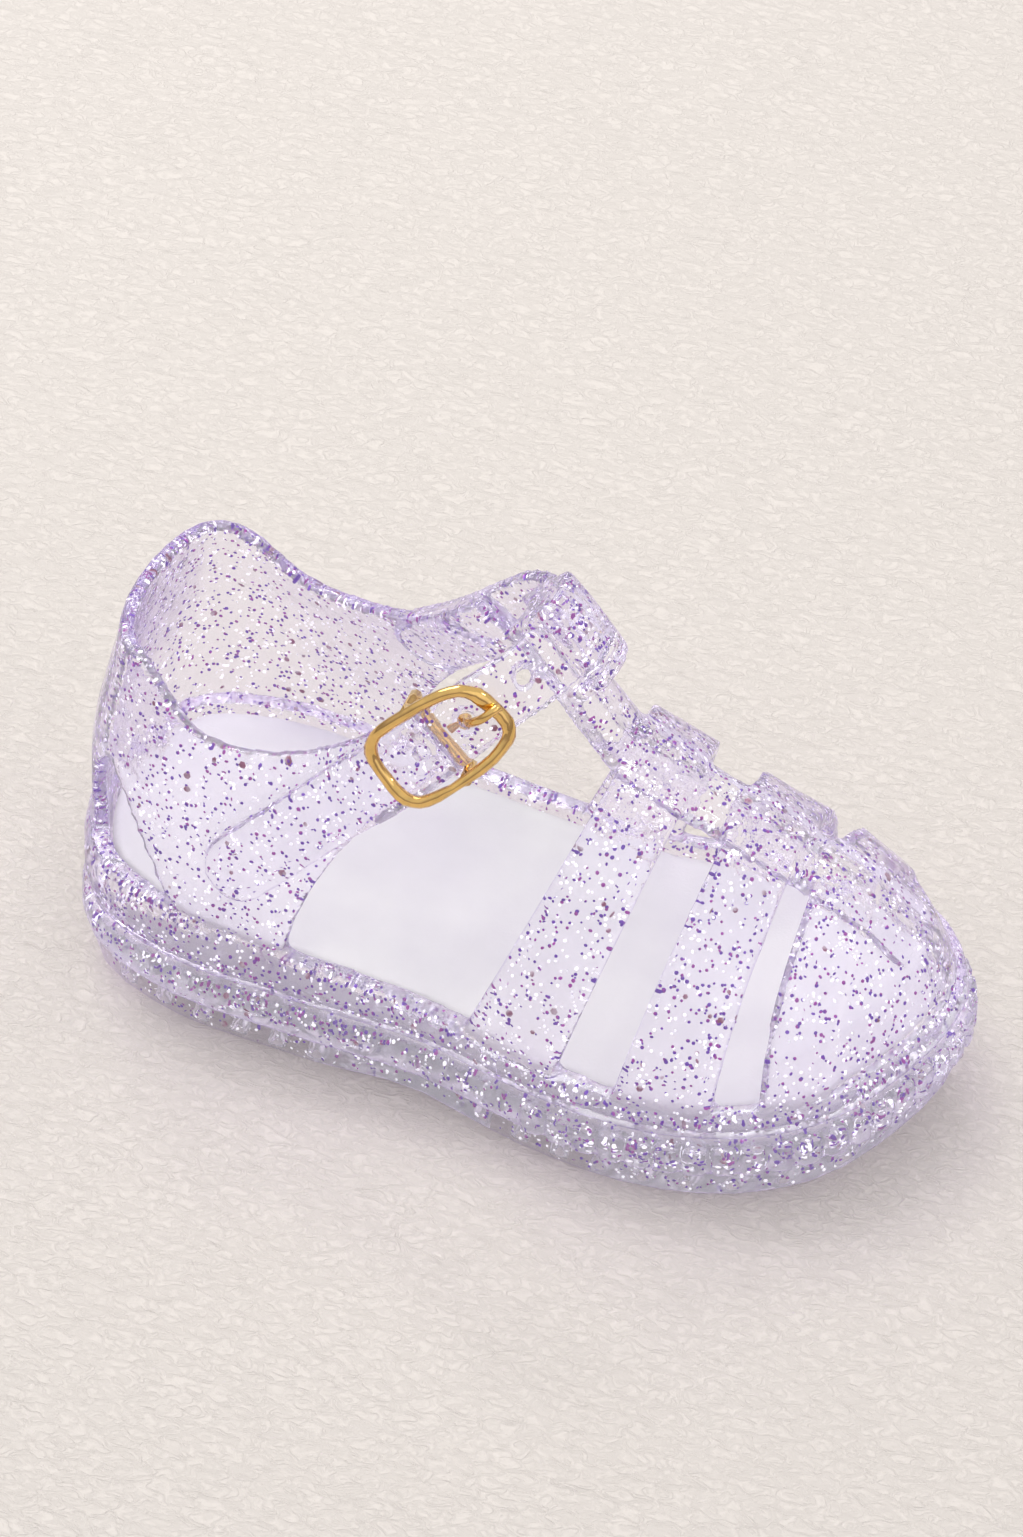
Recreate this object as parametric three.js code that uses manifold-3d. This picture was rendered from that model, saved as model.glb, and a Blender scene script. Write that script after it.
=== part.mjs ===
// Toddler's jelly sandal for the right foot, in millimetres, +X to the toe, +Y to the inner side of the
// foot, +Z up. It stands on its sole, and the middle of its footprint is the origin.
import * as THREE from 'three';
import { mergeVertices } from 'three/addons/utils/BufferGeometryUtils.js';
import Module from 'manifold-3d';

const wasm = await Module();
wasm.setup();

// Overall sizes
const LENGTH = 142;
const BALL_WIDTH = 66;
const TOE_SPRING = 4;
const ARCH_LIFT = 0.9;
const HEEL_LIFT = 7;
const GAP = 0.3;

// Heights of the layers of the sole
const OUTSOLE_THICKNESS = 5;
const MIDSOLE_THICKNESS = 6.7;
const RIM_HEIGHT = 4.2;
const INSOLE_THICKNESS = 2.9;
const INSOLE_EDGE = 0.5;

// Walls and insets, measured inwards from the widest line of the midsole
const OUTSOLE_INSET = 1.7;
const OUTSOLE_EDGE = 0.7;
const RIM_LEDGE = 2.6;
const WALL = 2.4;

// Upper
const INSTEP_HEIGHT = 60;
const STRAP_RISE = 0.8;
const STRAP_WALL = 2.2;
const TBAR_WIDTH = 11;
const TBAR_WALL = 3.3;
const TBAR = { straightTo: 0.62, end: 0.93, lowRise: 0.1 };

// Ankle strap, its keeper loop and holes
const ANKLE_WIDTH = 10.5;
const ANKLE_THICKNESS = 2.4;
const ANKLE_PITCH = THREE.MathUtils.degToRad(45);
const ANKLE_CROSSING = { along: 0.562, rise: 1.045 };
const ANKLE_DROP = { depth: 0.021, from: -0.08, to: 0.03 };
const STRAP_CLEARANCE = 0.4;
const LOOP_WIDTH = 11;
const LOOP_WALL = 1.9;
const LOOP_SLACK = 1.1;
const HOLE_DIAMETER = 2.9;

// Buckle
const BUCKLE_LENGTH = 19;
const BUCKLE_WIDTH = 15;
const BUCKLE_BAR = 1.8;
const BUCKLE_LUG = 2;
const BUCKLE_SQUARENESS = 0.6;
const PRONG_DIAMETER = 1.4;
const BUCKLE_CLEARANCE = 0.6;

// Toe studs and tread: the studs start at a share of LENGTH, in rows at shares of MIDSOLE_THICKNESS
const STUD_WIDTH = 3;
const STUD_HEIGHT = 2.1;
const STUD_PITCH = 4.3;
const STUD_PROUD = 0.6;
const STUD_ROOT = 1.4;
const STUD_START = 0.6;
const STUD_ROWS = [0.32, 0.72];
const GROOVE_DEPTH = 1.2;
const GROOVE_WIDTH = 2;
const GROOVE_PITCH = 6.5;
const TREAD = { heel: 0.06, toe: 0.94 };
const TREAD_SPINE = 8;
const TREAD_BORDER = 3.2;

// Resolution
const AROUND = 60;

const midsoleBottom = OUTSOLE_THICKNESS + GAP;
const midsoleTop = midsoleBottom + MIDSOLE_THICKNESS;
const rimBottom = midsoleTop + GAP;
const rimTop = rimBottom + RIM_HEIGHT;

// Plan of the midsole: along is a share of LENGTH from the heel, outer and inner are shares of
// BALL_WIDTH to each side of the line through the heel.
const PLAN = [
  { along: 0.045, outer: 0.25, inner: 0.36 },
  { along: 0.15, outer: 0.375, inner: 0.46 },
  { along: 0.32, outer: 0.415, inner: 0.455 },
  { along: 0.46, outer: 0.43, inner: 0.43 },
  { along: 0.6, outer: 0.5, inner: 0.415 },
  { along: 0.72, outer: 0.52, inner: 0.445 },
  { along: 0.84, outer: 0.465, inner: 0.44 },
  { along: 0.93, outer: 0.325, inner: 0.355 },
];
const HEEL_OFFSET = 0.045;
const TOE_OFFSET = 0.085;

// Side profiles: up is a share of the layer's height, inset is in from the midsole's widest line.
const MIDSOLE_SIDE = [
  { up: 0, inset: 1.1 },
  { up: 0.2, inset: 0.25 },
  { up: 0.55, inset: 0 },
  { up: 0.85, inset: 0.4 },
  { up: 1, inset: 1.3 },
];
const RIM_SIDE = [
  { up: 0, inset: 1.2 },
  { up: 0.3, inset: 0.7 },
  { up: 0.75, inset: 0.9 },
  { up: 1, inset: 2 },
];

// Horizontal sections of the last above the rim. rise is a share of INSTEP_HEIGHT, back and front move
// the ends inwards by shares of LENGTH, width is a share of the width at the rim, point narrows the
// front end, and swing brings the tip back to the line through the heel.
const LAST = [
  { rise: 0, back: 0, front: 0, width: 1, point: 0, swing: 0 },
  { rise: 0.13, back: 0, front: 0.022, width: 0.995, point: 0.05, swing: 0 },
  { rise: 0.26, back: 0.001, front: 0.07, width: 0.98, point: 0.15, swing: 0.02 },
  { rise: 0.39, back: 0.005, front: 0.138, width: 0.95, point: 0.3, swing: 0.1 },
  { rise: 0.5, back: 0.015, front: 0.2, width: 0.92, point: 0.38, swing: 0.25 },
  { rise: 0.6, back: 0.027, front: 0.272, width: 0.87, point: 0.42, swing: 0.5 },
  { rise: 0.7, back: 0.039, front: 0.335, width: 0.82, point: 0.48, swing: 0.75 },
  { rise: 0.82, back: 0.05, front: 0.372, width: 0.755, point: 0.52, swing: 0.9 },
  { rise: 0.91, back: 0.058, front: 0.398, width: 0.71, point: 0.53, swing: 1 },
  { rise: 1, back: 0.066, front: 0.427, width: 0.67, point: 0.52, swing: 1 },
  { rise: 1.12, back: 0.078, front: 0.474, width: 0.62, point: 0.5, swing: 1 },
  { rise: 1.25, back: 0.09, front: 0.54, width: 0.55, point: 0.5, swing: 1 },
];

const clamp01 = (value) => Math.min(1, Math.max(0, value));
const smooth = (value) => THREE.MathUtils.smoothstep(value, 0, 1);
const xAt = (along) => (along - 0.5) * LENGTH;

// Sizes along the foot that several pieces share
const springStart = xAt(0.7);
const archSpan = { from: xAt(0.34), to: xAt(0.54) };
const wedgeStart = xAt(0.76);

function spring(x) {
  const t = clamp01((x - springStart) / (LENGTH / 2 - springStart));
  return TOE_SPRING * t * t;
}

function arch(x) {
  const t = clamp01((x - archSpan.from) / (archSpan.to - archSpan.from));
  return ARCH_LIFT * Math.sin(Math.PI * t) ** 2;
}

// The footbed and the top of the rim rise towards the heel.
function wedge(x) {
  return HEEL_LIFT * clamp01((wedgeStart - x) / (wedgeStart + LENGTH / 2)) ** 1.2;
}

// Joining and cutting
function toSolid(geometry) {
  const bare = geometry.clone();
  for (const name of Object.keys(bare.attributes)) {
    if (name !== 'position') bare.deleteAttribute(name);
  }
  const merged = mergeVertices(bare, 1e-4);
  return new wasm.Manifold(new wasm.Mesh({
    numProp: 3,
    vertProperties: new Float32Array(merged.attributes.position.array),
    triVerts: new Uint32Array(merged.index.array),
  }));
}

function toGeometry(solid) {
  const mesh = solid.getMesh();
  const geometry = new THREE.BufferGeometry();
  geometry.setAttribute('position', new THREE.BufferAttribute(new Float32Array(mesh.vertProperties), 3));
  geometry.setIndex(new THREE.BufferAttribute(new Uint32Array(mesh.triVerts), 1));
  geometry.computeVertexNormals();
  return geometry;
}

const join = (solids) => solids.reduce((sum, solid) => sum.add(solid));

// A closed body from a stack of rings with equal numbers of points. Each ring starts at the heel, and the
// caps are ladders of strips across the foot, so that they follow a lift that depends on x.
function stackSolid(rings) {
  const count = rings[0].length;
  const triangles = [];
  for (let level = 0; level + 1 < rings.length; level += 1) {
    for (let i = 0; i < count; i += 1) {
      const next = (i + 1) % count;
      const a = level * count + i;
      const b = level * count + next;
      triangles.push(a, b, b + count, a, b + count, a + count);
    }
  }
  const top = (rings.length - 1) * count;
  const across = (i) => (count - i) % count;
  for (let i = 0; i < count / 2; i += 1) {
    const strip = [[i, i + 1, across(i + 1)], [i, across(i + 1), across(i)]];
    for (const [a, b, c] of strip) {
      if (a === b || b === c || a === c) continue;
      triangles.push(top + a, top + b, top + c, c, b, a);
    }
  }
  const geometry = new THREE.BufferGeometry().setFromPoints(rings.flat());
  geometry.setIndex(triangles);
  return toSolid(geometry);
}

// Plan outline, counter-clockwise seen from above and starting at the heel, and lines parallel to it
function planCurve() {
  const outer = PLAN.map((row) => new THREE.Vector3(xAt(row.along), -row.outer * BALL_WIDTH, 0));
  const inner = PLAN.map((row) => new THREE.Vector3(xAt(row.along), row.inner * BALL_WIDTH, 0)).reverse();
  const heelTip = new THREE.Vector3(xAt(0), HEEL_OFFSET * BALL_WIDTH, 0);
  const toeTip = new THREE.Vector3(xAt(1), TOE_OFFSET * BALL_WIDTH, 0);
  const curve = new THREE.CatmullRomCurve3([heelTip, ...outer, toeTip, ...inner], true, 'centripetal');
  curve.arcLengthDivisions = 600;
  return curve;
}

const plan = planCurve();
const outline = plan.getSpacedPoints(AROUND).slice(0, AROUND);

function outwardNormals(ring) {
  return ring.map((point, i) => {
    const before = ring[(i + ring.length - 1) % ring.length];
    const after = ring[(i + 1) % ring.length];
    return new THREE.Vector3(after.y - before.y, before.x - after.x, 0).normalize();
  });
}

const outlineNormals = outwardNormals(outline);

function insetRing(inset, z, lift = () => 0) {
  return outline.map((point, i) => {
    const moved = point.clone().addScaledVector(outlineNormals[i], -inset);
    moved.z = z + spring(moved.x) + lift(moved.x);
    return moved;
  });
}

const soleLayer = (rows) => stackSolid(rows.map((row) => insetRing(row.inset, row.z, row.lift)));

// Sole
function makeOutsole() {
  const body = soleLayer([
    { z: 0, inset: OUTSOLE_INSET + OUTSOLE_EDGE, lift: arch },
    { z: OUTSOLE_EDGE, inset: OUTSOLE_INSET, lift: arch },
    { z: OUTSOLE_THICKNESS, inset: OUTSOLE_INSET },
  ]);
  const reach = BALL_WIDTH / 2;
  const grooves = [];
  for (const [from, to] of [[xAt(TREAD.heel), archSpan.from], [archSpan.to, xAt(TREAD.toe)]]) {
    for (let x = from; x <= to; x += GROOVE_PITCH) {
      for (const side of [-1, 1]) {
        const groove = new THREE.BoxGeometry(GROOVE_WIDTH, reach, 2 * GROOVE_DEPTH);
        groove.translate(x, side * (TREAD_SPINE + reach) / 2, spring(x));
        grooves.push(toSolid(groove));
      }
    }
  }
  // The grooves end short of the edge, which stays whole all round.
  const edge = OUTSOLE_INSET + TREAD_BORDER;
  const field = soleLayer([{ z: -2 * GROOVE_DEPTH, inset: edge }, { z: 2 * GROOVE_DEPTH, inset: edge }]);
  return body.subtract(join(grooves).intersect(field));
}

// The rows of a side profile at their heights
const profile = (side, bottom, height) => side.map(({ up, inset }) => ({ z: bottom + up * height, inset }));

function makeMidsole() {
  const places = plan.getSpacedPoints(Math.round(plan.getLength() / STUD_PITCH));
  const normals = outwardNormals(places);
  const studs = [];
  places.forEach((point, i) => {
    if (point.x < xAt(STUD_START)) return;
    for (const share of STUD_ROWS) {
      const z = midsoleBottom + share * MIDSOLE_THICKNESS;
      const stud = new THREE.BoxGeometry(2 * STUD_PROUD + STUD_ROOT, STUD_WIDTH, STUD_HEIGHT);
      stud.translate(-STUD_ROOT / 2, 0, 0);
      stud.rotateZ(Math.atan2(normals[i].y, normals[i].x));
      stud.translate(point.x, point.y, z + spring(point.x));
      studs.push(toSolid(stud));
    }
  });
  return join([soleLayer(profile(MIDSOLE_SIDE, midsoleBottom, MIDSOLE_THICKNESS)), ...studs]);
}

function makeInsole() {
  const inset = RIM_LEDGE + WALL + GAP;
  const top = rimBottom + INSOLE_THICKNESS;
  return soleLayer([
    { z: rimBottom, inset },
    { z: top - INSOLE_EDGE, inset, lift: wedge },
    { z: top, inset: inset + INSOLE_EDGE, lift: wedge },
  ]);
}

// Last: its horizontal section at a share of INSTEP_HEIGHT above the rim
const lastBase = insetRing(RIM_LEDGE, 0).map((point) => point.clone().setZ(0));
const lastEnds = {
  back: Math.min(...lastBase.map((point) => point.x)),
  front: Math.max(...lastBase.map((point) => point.x)),
};

function lastRow(rise) {
  const index = Math.min(LAST.length - 2, Math.max(0, LAST.findIndex((row) => row.rise > rise) - 1));
  const upper = rise >= LAST[LAST.length - 1].rise ? LAST.length - 2 : index;
  const [low, high] = [LAST[upper], LAST[upper + 1]];
  const t = (rise - low.rise) / (high.rise - low.rise);
  const mix = (name) => low[name] + (high[name] - low[name]) * t;
  return {
    back: mix('back'), front: mix('front'), width: mix('width'), point: mix('point'), swing: mix('swing'),
  };
}

function lastRing(rise) {
  const row = lastRow(rise);
  const back = lastEnds.back + row.back * LENGTH;
  const front = lastEnds.front - row.front * LENGTH;
  return lastBase.map((point) => {
    const t = (point.x - lastEnds.back) / (lastEnds.front - lastEnds.back);
    const x = back + (front - back) * t;
    const narrow = row.width * (1 - row.point * t ** 1.2);
    const y = narrow * (point.y - row.swing * TOE_OFFSET * BALL_WIDTH * t * t);
    return new THREE.Vector3(x, y, rimTop + rise * INSTEP_HEIGHT + spring(x));
  });
}

const lastRises = [-0.04, ...LAST.map((row) => row.rise)];
const lastRings = lastRises.map((rise) => lastRing(Math.max(rise, 0)).map((point) => {
  if (rise < 0) point.z += rise * INSTEP_HEIGHT;
  return point;
}));

function lastNormal(level, i) {
  const ring = lastRings[level];
  const around = ring[(i + 1) % AROUND].clone().sub(ring[(i + AROUND - 1) % AROUND]);
  const above = lastRings[Math.min(level + 1, lastRings.length - 1)][i];
  const below = lastRings[Math.max(level - 1, 0)][i];
  return around.cross(above.clone().sub(below)).normalize();
}

const lastNormals = lastRings.map((ring, level) => ring.map((_, i) => lastNormal(level, i)));

// The last grown by a distance; the lowest ring grows sideways only.
function lastSolid(grow, drop = 0) {
  return stackSolid(lastRings.map((ring, level) => ring.map((point, i) => {
    const normal = lastNormals[level][i].clone();
    if (level === 0) normal.setZ(0).normalize();
    const moved = point.clone().addScaledVector(normal, grow);
    if (level === 0) moved.z -= drop;
    return moved;
  })));
}

const shell = (inside, outside) => lastSolid(outside).subtract(lastSolid(inside, 1));

// Side-view shapes, drawn in X and Z and pushed through the shoe from y = from to y = to
function sideSolid(shape, from, to) {
  const geometry = new THREE.ExtrudeGeometry(shape, { depth: to - from, bevelEnabled: false, curveSegments: 6 });
  geometry.rotateX(Math.PI / 2);
  geometry.translate(0, to, 0);
  return toSolid(geometry);
}

function shapeFrom(points) {
  return new THREE.Shape(points.map(([x, z]) => new THREE.Vector2(x, z)));
}

const halfRoom = BALL_WIDTH;
const through = (shape) => sideSolid(shape, -halfRoom, halfRoom);
const heightAt = (rise) => rimTop + rise * INSTEP_HEIGHT;

// The ankle strap's line in side view: a distance s along it and t across it
const ankleCentre = { x: xAt(ANKLE_CROSSING.along), z: heightAt(ANKLE_CROSSING.rise) };
const ankleAlong = { x: Math.cos(ANKLE_PITCH), z: Math.sin(ANKLE_PITCH) };

function slabPoint(s, t) {
  return [
    ankleCentre.x + s * ankleAlong.x - t * ankleAlong.z,
    ankleCentre.z + s * ankleAlong.z + t * ankleAlong.x,
  ];
}

// The strap leaves its straight line past the buckle and drops towards the toe to meet its loop
const loopDrop = ANKLE_DROP.depth * LENGTH;

function anklePoint(s, t) {
  const share = (s / LENGTH - ANKLE_DROP.from) / (ANKLE_DROP.to - ANKLE_DROP.from);
  return slabPoint(s, t - loopDrop * smooth(share));
}

const loopPoint = (s, t) => slabPoint(s, t - loopDrop);

// Places along the ankle strap, in the same distance s
const buckleAt = -0.138 * LENGTH;
const tailAt = -0.475 * LENGTH;
const rootAt = -0.335 * LENGTH;
const overTop = 0.14 * LENGTH;
const holePitch = 0.055 * LENGTH;
const prongHole = buckleAt + 0.034 * LENGTH;

// Collar and quarters in side view: x as shares of LENGTH from the heel, heights as shares of INSTEP_HEIGHT
const COLLAR = { corner: 0.1, backRise: 0.75, topRise: 0.785, dip: 0.225, dipRise: 0.615, end: 0.285 };
const QUARTER = { front: 0.295, waistRise: 0.16 };
const TAB_NECK = { upper: 0.042, lower: 0.092, flare: 0.065 };

function heelAndQuarters() {
  const half = ANKLE_WIDTH / 2;
  const tabEnd = buckleAt - BUCKLE_BAR / 2 - BUCKLE_CLEARANCE;
  const flare = TAB_NECK.flare * LENGTH;
  const behind = xAt(-0.05);
  const [upperX, upperZ] = anklePoint(tabEnd - TAB_NECK.upper * LENGTH, half + STRAP_CLEARANCE);
  const [lowerX, lowerZ] = anklePoint(tabEnd - TAB_NECK.lower * LENGTH, -half);
  const dipX = xAt(COLLAR.dip);
  const dipZ = heightAt(COLLAR.dipRise);
  const frontX = xAt(QUARTER.front);
  const shape = new THREE.Shape();
  shape.moveTo(behind, rimBottom);
  shape.lineTo(behind, heightAt(COLLAR.backRise));
  shape.lineTo(xAt(0.05), heightAt(COLLAR.backRise));
  shape.quadraticCurveTo(xAt(0.055), heightAt(COLLAR.topRise), xAt(COLLAR.corner), heightAt(COLLAR.topRise));
  shape.bezierCurveTo(
    xAt((COLLAR.corner + COLLAR.dip) / 2), heightAt(COLLAR.topRise),
    xAt((COLLAR.corner + COLLAR.dip) / 2), dipZ,
    dipX, dipZ,
  );
  shape.bezierCurveTo(xAt(COLLAR.end), dipZ, upperX - flare, upperZ - flare, upperX, upperZ);
  shape.lineTo(...anklePoint(tabEnd, half));
  shape.lineTo(...anklePoint(tabEnd, -half));
  shape.lineTo(lowerX, lowerZ);
  shape.bezierCurveTo(lowerX - flare, lowerZ - flare, frontX, heightAt(QUARTER.waistRise), frontX, rimBottom);
  return shell(-WALL, 0).intersect(through(shape));
}

// Leaf-shaped opening in the outer side of the heel, seen square to the wall: its sizes, then its points as
// shares of its width and height, each with the point that its curve bends towards
const leaf = { middle: xAt(0.222), turn: THREE.MathUtils.degToRad(43), width: 22, height: 23, sink: 1.4 };
const LEAF_START = { across: 0.42, up: 0 };
const LEAF_CURVES = [
  { bendAcross: 0.28, bendUp: 0.5, across: -0.1, up: 1 },
  { bendAcross: -0.2, bendUp: 1.03, across: -0.3, up: 0.85 },
  { bendAcross: -0.56, bendUp: 0.35, across: -0.45, up: 0.12 },
  { bendAcross: -0.4, bendUp: 0, across: -0.3, up: 0 },
];

function heelLeaf() {
  const low = rimTop + wedge(leaf.middle) - leaf.sink;
  const x = (share) => share * leaf.width;
  const z = (share) => low + share * leaf.height;
  const shape = new THREE.Shape();
  shape.moveTo(x(LEAF_START.across), z(LEAF_START.up));
  for (const row of LEAF_CURVES) {
    shape.quadraticCurveTo(x(row.bendAcross), z(row.bendUp), x(row.across), z(row.up));
  }
  const geometry = new THREE.ExtrudeGeometry(shape, { depth: LENGTH / 2, bevelEnabled: false, curveSegments: 6 });
  geometry.rotateX(Math.PI / 2);
  geometry.rotateZ(-leaf.turn);
  geometry.translate(leaf.middle, 0, 0);
  return toSolid(geometry);
}

function makeRim() {
  const rows = profile(RIM_SIDE, rimBottom, RIM_HEIGHT);
  const outer = soleLayer(rows.map((row, i) => ({ ...row, lift: (x) => RIM_SIDE[i].up * wedge(x) })));
  const inner = stackSolid([
    insetRing(RIM_LEDGE + WALL, rimBottom - 1),
    insetRing(RIM_LEDGE + WALL, rimTop + 1, wedge),
  ]);
  return outer.subtract(inner);
}

// T-bar: a strip of the instep that follows the line of the tips of the last
function tbarLine(x) {
  const t = clamp01((x - xAt(TBAR.straightTo)) / (lastEnds.front - xAt(TBAR.straightTo)));
  return TOE_OFFSET * BALL_WIDTH * smooth(t);
}

function stripSolid(width, from, to) {
  const steps = 10;
  const edge = (side) => Array.from({ length: steps + 1 }, (_, i) => {
    const x = from + ((to - from) * i) / steps;
    return new THREE.Vector2(x, tbarLine(x) + side * width / 2);
  });
  const shape = new THREE.Shape([...edge(-1), ...edge(1).reverse()]);
  const geometry = new THREE.ExtrudeGeometry(shape, { depth: 2 * INSTEP_HEIGHT, bevelEnabled: false });
  geometry.translate(0, 0, heightAt(TBAR.lowRise));
  return toSolid(geometry);
}

// Straps in side view: foot and top as shares of LENGTH, top also as a share of INSTEP_HEIGHT
const STRAPS = [
  { footBack: 0.4986, footFront: 0.6156, topBack: 0.664, topFront: 0.736, topRise: 0.88 },
  { footBack: 0.6837, footFront: 0.793, topBack: 0.763, topFront: 0.824, topRise: 0.7 },
  { footBack: 0.845, footFront: 0.91, topBack: 0.833, topFront: 0.885, topRise: 0.56 },
];

function strapShape(row) {
  return shapeFrom([
    [xAt(row.footBack), rimBottom],
    [xAt(row.footFront), rimBottom],
    [xAt(row.topFront), heightAt(row.topRise)],
    [xAt(row.topBack), heightAt(row.topRise)],
  ]);
}

function makeStraps() {
  return STRAPS.map((row) => shell(-STRAP_WALL, STRAP_RISE).intersect(through(strapShape(row))));
}

function makeToeCap() {
  const rear = STRAPS[2];
  const shape = shapeFrom([
    [xAt((rear.footBack + rear.footFront) / 2), rimBottom],
    [xAt(1.1), rimBottom],
    [xAt(1.1), heightAt(rear.topRise)],
    [xAt((rear.topBack + rear.topFront) / 2), heightAt(rear.topRise)],
  ]);
  return shell(-WALL, 0).intersect(through(shape));
}

// Keeper loop, standing on the end of the T-bar around the ankle strap
const strapInside = STRAP_CLEARANCE;
const strapOutside = strapInside + ANKLE_THICKNESS;
const slotOutside = strapOutside + STRAP_CLEARANCE;
const loopOutside = slotOutside + LOOP_WALL;
const slotWidth = ANKLE_WIDTH + LOOP_SLACK;

function loopSlab(width, from, to) {
  const half = width / 2;
  return shapeFrom([loopPoint(from, -half), loopPoint(to, -half), loopPoint(to, half), loopPoint(from, half)]);
}

function makeLoop() {
  const block = shell(-TBAR_WALL, loopOutside).intersect(
    sideSolid(loopSlab(slotWidth + 2 * LOOP_WALL, -overTop, overTop), -LOOP_WIDTH / 2, LOOP_WIDTH / 2),
  );
  const slot = shell(0, slotOutside).intersect(
    sideSolid(loopSlab(slotWidth, -overTop - 2, overTop + 2), -LOOP_WIDTH, LOOP_WIDTH),
  );
  return { block, slot };
}

function makeTbar() {
  const [rearEnd] = loopPoint(0, slotWidth / 2 + LOOP_WALL);
  return shell(-TBAR_WALL, 0).intersect(stripSolid(TBAR_WIDTH, rearEnd, xAt(TBAR.end)));
}

// Ankle strap: a round-ended tail on the outer side, a root grown into the quarter on the inner side
function makeAnkleStrap() {
  const free = shell(strapInside, strapOutside);
  const outerSide = free.intersect(sideSolid(strapOutline(tailAt, overTop), -halfRoom, 0.01));
  const innerSide = free.intersect(sideSolid(strapOutline(rootAt, overTop), 0, halfRoom));
  const root = shell(-WALL / 2, strapOutside).intersect(
    sideSolid(strapOutline(rootAt, buckleAt - 2), 0, halfRoom),
  );
  return join([outerSide, innerSide, root]);
}

// The ankle strap in side view, with a round end at from and a square one at to
function strapOutline(from, to) {
  const half = ANKLE_WIDTH / 2;
  const start = from + half;
  const steps = 8;
  const edge = (t) => Array.from({ length: steps + 1 }, (_, i) => anklePoint(to + ((start - to) * i) / steps, t));
  const turns = 6;
  const end = Array.from({ length: turns - 1 }, (_, i) => {
    const angle = (Math.PI * (i + 1)) / turns;
    return anklePoint(start - half * Math.sin(angle), half * Math.cos(angle));
  });
  return shapeFrom([...edge(half), ...end, ...edge(-half).reverse()]);
}

// A point on the outer side of the last, at a place in side view, and a distance out from the wall
function sidePoint(x, z, out) {
  const at = (px, pz) => {
    const ring = lastRing((pz - rimTop - spring(px)) / INSTEP_HEIGHT);
    for (let i = 0; i < AROUND; i += 1) {
      const a = ring[i];
      const b = ring[(i + 1) % AROUND];
      if (a.y < 0 && a.x <= px && b.x > px) {
        const t = (px - a.x) / (b.x - a.x);
        return new THREE.Vector3(px, a.y + (b.y - a.y) * t, pz);
      }
    }
    throw new Error('the last has no wall at this place');
  };
  const step = 1;
  const point = at(x, z);
  const ahead = point.clone().sub(at(x - step, z));
  const up = point.clone().sub(at(x, z - step));
  return point.addScaledVector(ahead.cross(up).normalize(), out);
}

const onStrap = (s, t, out) => sidePoint(...anklePoint(s, t), out);

function tubeSolid(points, diameter, steps) {
  const curve = new THREE.CatmullRomCurve3(points, false, 'centripetal');
  const section = new THREE.Shape();
  section.absarc(0, 0, diameter / 2, 0, 2 * Math.PI, false);
  const geometry = new THREE.ExtrudeGeometry(section, {
    steps, bevelEnabled: false, extrudePath: curve, curveSegments: 4,
  });
  return toSolid(geometry);
}

// Buckle
const frameOut = strapOutside + BUCKLE_CLEARANCE + BUCKLE_BAR / 2;
const barOut = -BUCKLE_BAR / 2;

// A closed ring of round wire that lies on the strap, its line a rounded rectangle
function wireRing(halfLong, halfWide, diameter) {
  const line = (turn) => {
    const rounded = (value) => Math.sign(value) * Math.abs(value) ** BUCKLE_SQUARENESS;
    return new THREE.Vector2(halfLong * rounded(Math.cos(turn)), halfWide * rounded(Math.sin(turn)));
  };
  const turns = 32;
  const sides = 8;
  const points = [];
  const triangles = [];
  for (let i = 0; i < turns; i += 1) {
    const turn = (2 * Math.PI * (i + 0.5)) / turns;
    const at = line(turn);
    const ahead = line(turn + 0.02).sub(line(turn - 0.02)).normalize();
    for (let j = 0; j < sides; j += 1) {
      const angle = (2 * Math.PI * (j + 0.5)) / sides;
      const outward = (diameter / 2) * Math.cos(angle);
      const lift = (diameter / 2) * Math.sin(angle);
      points.push(onStrap(buckleAt + at.x + ahead.y * outward, at.y - ahead.x * outward, frameOut + lift));
      const a = i * sides + j;
      const b = i * sides + ((j + 1) % sides);
      const c = ((i + 1) % turns) * sides + j;
      const d = ((i + 1) % turns) * sides + ((j + 1) % sides);
      triangles.push(a, c, b, b, c, d);
    }
  }
  const geometry = new THREE.BufferGeometry().setFromPoints(points);
  geometry.setIndex(triangles);
  return toSolid(geometry);
}

function makeBuckleFrame() {
  const halfLong = (BUCKLE_LENGTH - BUCKLE_BAR) / 2;
  const halfWide = (BUCKLE_WIDTH - BUCKLE_BAR) / 2;
  const frame = wireRing(halfLong, halfWide, BUCKLE_BAR);
  const bar = tubeSolid(
    [-1, -0.5, 0, 0.5, 1].map((share) => onStrap(buckleAt, share * halfWide, barOut)), BUCKLE_BAR, 6,
  );
  const posts = [-1, 1].map((side) => tubeSolid(
    [barOut - BUCKLE_LUG / 2, 0.5 * (barOut + frameOut), frameOut].map((out) => onStrap(buckleAt, side * halfWide, out)),
    BUCKLE_LUG, 3,
  ));
  return join([frame, bar, ...posts]);
}

// The prong runs under the strap from the bar, up through its hole, and down onto the frame's far side.
function makeProng() {
  const under = strapInside - GAP - PRONG_DIAMETER / 2;
  const over = frameOut + BUCKLE_BAR / 2 + GAP + PRONG_DIAMETER / 2;
  const start = buckleAt + BUCKLE_BAR / 2 + BUCKLE_CLEARANCE;
  const tip = buckleAt + BUCKLE_LENGTH / 2;
  const bend = PRONG_DIAMETER;
  return tubeSolid([
    onStrap(start, 0, under),
    onStrap(prongHole - bend, 0, under),
    onStrap(prongHole, 0, strapInside + bend / 2),
    onStrap(prongHole + GAP / 2, 0, strapOutside + GAP),
    onStrap(prongHole + 1.7 * bend, 0, over - GAP),
    onStrap(tip - bend, 0, over),
    onStrap(tip, 0, over - GAP),
  ], PRONG_DIAMETER, 14);
}

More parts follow.
